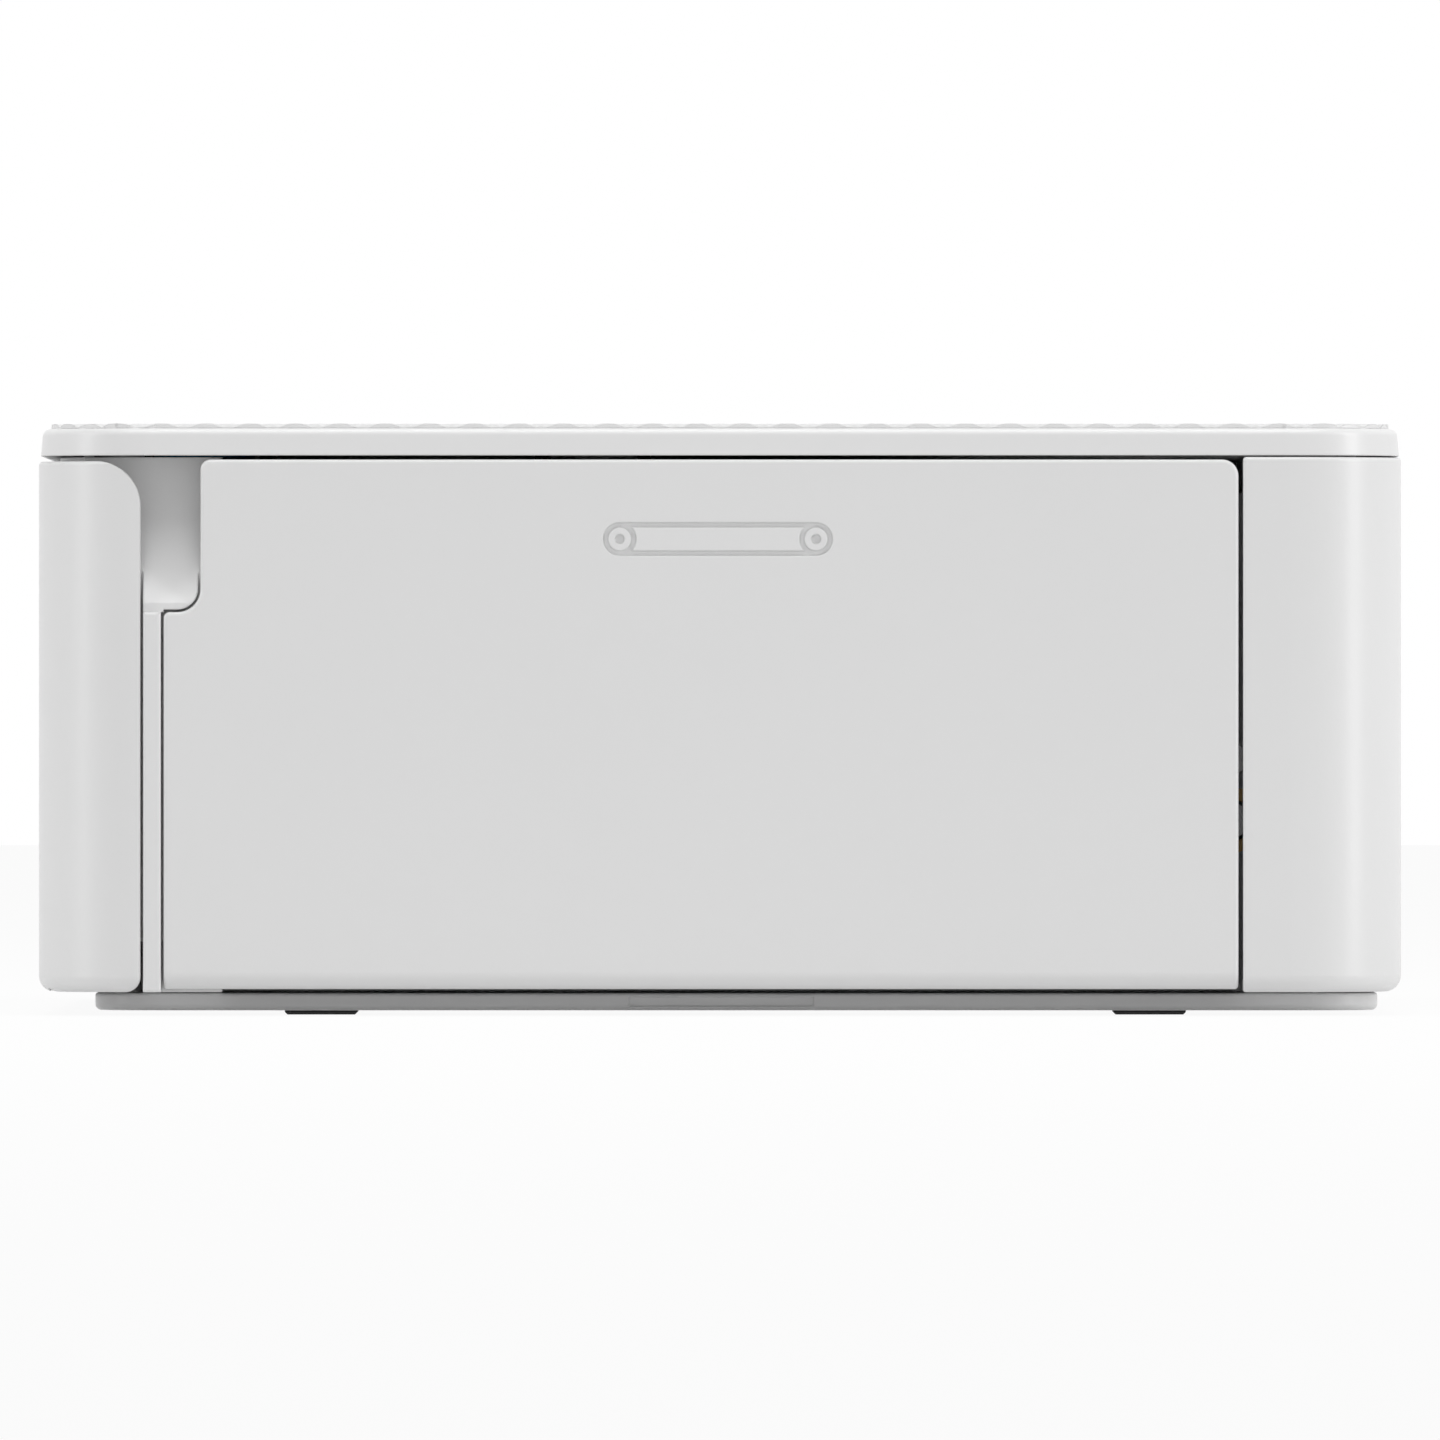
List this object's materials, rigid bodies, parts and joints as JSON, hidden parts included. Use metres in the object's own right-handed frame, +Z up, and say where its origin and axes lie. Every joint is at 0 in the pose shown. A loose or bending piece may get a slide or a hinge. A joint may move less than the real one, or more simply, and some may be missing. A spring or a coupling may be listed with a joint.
{
  "type": "compact photo printer",
  "caption": "Low rectangular compact photo printer with a drop-down front cover, a hinged ribbon cassette door with finger scoop, a pillowed top with screen and keys, and its roller mechanism.",
  "frame": {"origin": "centre of the footprint, on the table under the rubber feet", "axes": "+X to the printer's right, the side with the ribbon cassette door; +Y to its rear; +Z up"},
  "size_m": [0.1822, 0.133, 0.0576],
  "materials": {
    "casing_white": "fine matt, light texture",
    "inner_grey": "matt",
    "guide_black": "satin",
    "key_white": "satin",
    "print_key": "satin",
    "screen_glass": "clear, dark behind",
    "display": "matt",
    "rubber_black": "matt",
    "mat_grey": "matt",
    "sheet_steel": "zinc plated",
    "shaft_steel": "ground",
    "bronze": "sintered",
    "gear_white": "satin",
    "motor_metal": "satin",
    "aluminium": "extruded",
    "ceramic": "glazed",
    "board_green": "solder mask",
    "port_metal": "nickel plated",
    "connector_black": "satin",
    "cassette_grey": "satin",
    "spool_white": "satin",
    "dye_film": "thin, glossy"
  },
  "bodies": {
    "casing": {"main_shell": "casing_white", "front_frame": "casing_white", "top_cover": "casing_white", "base_tray": "casing_white", "ink_bay_panel": "inner_grey", "front_cover_hinge_pins": "shaft_steel", "ink_door_hinge_pins": "shaft_steel", "screen_glass": "screen_glass", "display_panel": "display", "key_mat": "mat_grey", "control_board": "board_green", "rubber_feet": "rubber_black", "casing_screws": "shaft_steel", "feed_motor": "motor_metal", "ribbon_motor": "motor_metal", "bearing_bushes": "bronze", "left_side_plate": "sheet_steel", "right_side_plate": "sheet_steel", "cross_beam": "sheet_steel", "paper_guides": "guide_black", "head_springs": "shaft_steel", "main_board": "board_green", "side_boards": "board_green", "card_socket": "port_metal", "usb_sockets": "port_metal", "power_inlet": "connector_black", "fan_frame": "connector_black"},
    "front_cover": {"front_cover": "casing_white"},
    "ink_door": {"ink_door": "casing_white"},
    "power_key": {"power_key": "key_white"},
    "menu_key": {"menu_key": "key_white"},
    "back_key": {"back_key": "key_white"},
    "print_key": {"print_key": "print_key"},
    "navigation_ring": {"navigation_ring": "key_white"},
    "ok_key": {"ok_key": "key_white"},
    "platen": {"platen_roller": "rubber_black", "platen_shaft": "shaft_steel", "platen_gear": "gear_white"},
    "feed_pinion": {"feed_motor_pinion": "bronze"},
    "idler_front": {"idler_gear_front": "gear_white"},
    "idler_middle": {"idler_gear_middle": "gear_white"},
    "pickup": {"pickup_roller": "rubber_black", "pickup_shaft": "shaft_steel", "pickup_gear": "gear_white"},
    "idler_rear": {"idler_gear_rear": "gear_white"},
    "capstan": {"capstan_roller": "shaft_steel", "capstan_gear": "gear_white"},
    "pinch": {"pinch_roller": "shaft_steel"},
    "ribbon_pinion": {"ribbon_motor_pinion": "bronze"},
    "takeup_drive": {"takeup_gear": "gear_white"},
    "thermal_head": {"thermal_head": "ceramic", "heat_sink": "aluminium"},
    "cassette": {"cassette_lower_shell": "cassette_grey", "cassette_upper_shell": "cassette_grey", "ribbon_film": "dye_film"},
    "supply_spool": {"supply_spool": "spool_white", "supply_film_roll": "dye_film"},
    "takeup_spool": {"takeup_spool": "spool_white"},
    "cassette_lever": {"eject_lever": "gear_white"},
    "fan_rotor": {"fan_rotor": "connector_black"}
  },
  "joints": [
    {"name": "front_cover_hinge", "type": "hinge", "parent": "casing", "child": "front_cover", "pos_m": [0, -0.0634, 0.0047], "axis": [1, 0, 0], "range_deg": [0, 90]},
    {"name": "ink_door_hinge", "type": "hinge", "parent": "casing", "child": "ink_door", "pos_m": [0.089, 0.04645, 0.028], "axis": [0, 0, 1], "range_deg": [0, 100]},
    {"name": "power_key_press", "type": "slide", "parent": "casing", "child": "power_key", "axis": [0, 0, -1], "range_m": [0, 0.0004], "stiffness_N_per_m": 1500},
    {"name": "menu_key_press", "type": "slide", "parent": "casing", "child": "menu_key", "axis": [0, 0, -1], "range_m": [0, 0.0004], "stiffness_N_per_m": 1500},
    {"name": "back_key_press", "type": "slide", "parent": "casing", "child": "back_key", "axis": [0, 0, -1], "range_m": [0, 0.0004], "stiffness_N_per_m": 1500},
    {"name": "print_key_press", "type": "slide", "parent": "casing", "child": "print_key", "axis": [0, 0, -1], "range_m": [0, 0.0004], "stiffness_N_per_m": 1500},
    {"name": "navigation_ring_press", "type": "slide", "parent": "casing", "child": "navigation_ring", "axis": [0, 0, -1], "range_m": [0, 0.0004], "stiffness_N_per_m": 1500},
    {"name": "ok_key_press", "type": "slide", "parent": "casing", "child": "ok_key", "axis": [0, 0, -1], "range_m": [0, 0.0004], "stiffness_N_per_m": 1500},
    {"name": "platen_spin", "type": "hinge", "parent": "casing", "child": "platen", "pos_m": [0, 0.007, 0.016], "axis": [1, 0, 0], "continuous": true},
    {"name": "feed_pinion_spin", "type": "hinge", "parent": "casing", "child": "feed_pinion", "pos_m": [0, 0.0025, 0.0303], "axis": [1, 0, 0], "continuous": true},
    {"name": "idler_front_spin", "type": "hinge", "parent": "casing", "child": "idler_front", "pos_m": [0, -0.01207, 0.02132], "axis": [1, 0, 0], "continuous": true},
    {"name": "idler_middle_spin", "type": "hinge", "parent": "casing", "child": "idler_middle", "pos_m": [0, -0.02941, 0.02616], "axis": [1, 0, 0], "continuous": true},
    {"name": "pickup_spin", "type": "hinge", "parent": "casing", "child": "pickup", "pos_m": [0, -0.04675, 0.031], "axis": [1, 0, 0], "continuous": true},
    {"name": "idler_rear_spin", "type": "hinge", "parent": "casing", "child": "idler_rear", "pos_m": [0, 0.02855, 0.0175], "axis": [1, 0, 0], "continuous": true},
    {"name": "capstan_spin", "type": "hinge", "parent": "casing", "child": "capstan", "pos_m": [0, 0.0501, 0.019], "axis": [1, 0, 0], "continuous": true},
    {"name": "pinch_spin", "type": "hinge", "parent": "casing", "child": "pinch", "pos_m": [0, 0.0501, 0.025], "axis": [1, 0, 0], "continuous": true},
    {"name": "takeup_drive_spin", "type": "hinge", "parent": "casing", "child": "takeup_drive", "pos_m": [0, 0.031, 0.0365], "axis": [1, 0, 0], "continuous": true},
    {"name": "ribbon_pinion_spin", "type": "hinge", "parent": "casing", "child": "ribbon_pinion", "pos_m": [0, 0.0434, 0.0409], "axis": [1, 0, 0], "continuous": true},
    {"name": "thermal_head_lift", "type": "slide", "parent": "casing", "child": "thermal_head", "axis": [0, 0, 1], "range_m": [0, 0.0025], "deforming": ["head_springs"]},
    {"name": "cassette_slide", "type": "slide", "parent": "casing", "child": "cassette", "axis": [1, 0, 0], "range_m": [0, 0.004]},
    {"name": "supply_spool_spin", "type": "hinge", "parent": "cassette", "child": "supply_spool", "pos_m": [0, -0.017, 0.0365], "axis": [1, 0, 0], "continuous": true},
    {"name": "takeup_spool_spin", "type": "hinge", "parent": "cassette", "child": "takeup_spool", "pos_m": [0, 0.031, 0.0365], "axis": [1, 0, 0], "continuous": true},
    {"name": "cassette_lever_turn", "type": "hinge", "parent": "casing", "child": "cassette_lever", "pos_m": [0.0849, -0.037, 0.0365], "axis": [1, 0, 0], "range_deg": [0, 40]},
    {"name": "fan_spin", "type": "hinge", "parent": "casing", "child": "fan_rotor", "pos_m": [-0.036, 0.0605, 0.0144], "axis": [0, 1, 0], "continuous": true}
  ],
  "couplings": [
    {"joint": "feed_pinion_spin", "follows": "platen_spin", "ratio": -2.5714},
    {"joint": "idler_front_spin", "follows": "platen_spin", "ratio": -1.2},
    {"joint": "idler_middle_spin", "follows": "platen_spin", "ratio": 1.2},
    {"joint": "pickup_spin", "follows": "platen_spin", "ratio": -1.2},
    {"joint": "idler_rear_spin", "follows": "platen_spin", "ratio": -1},
    {"joint": "capstan_spin", "follows": "platen_spin", "ratio": 1},
    {"joint": "pinch_spin", "follows": "platen_spin", "ratio": -1},
    {"joint": "ribbon_pinion_spin", "follows": "takeup_drive_spin", "ratio": -2.1429},
    {"joint": "takeup_spool_spin", "follows": "takeup_drive_spin", "ratio": 1},
    {"joint": "supply_spool_spin", "follows": "takeup_drive_spin", "ratio": 0.5464}
  ]
}
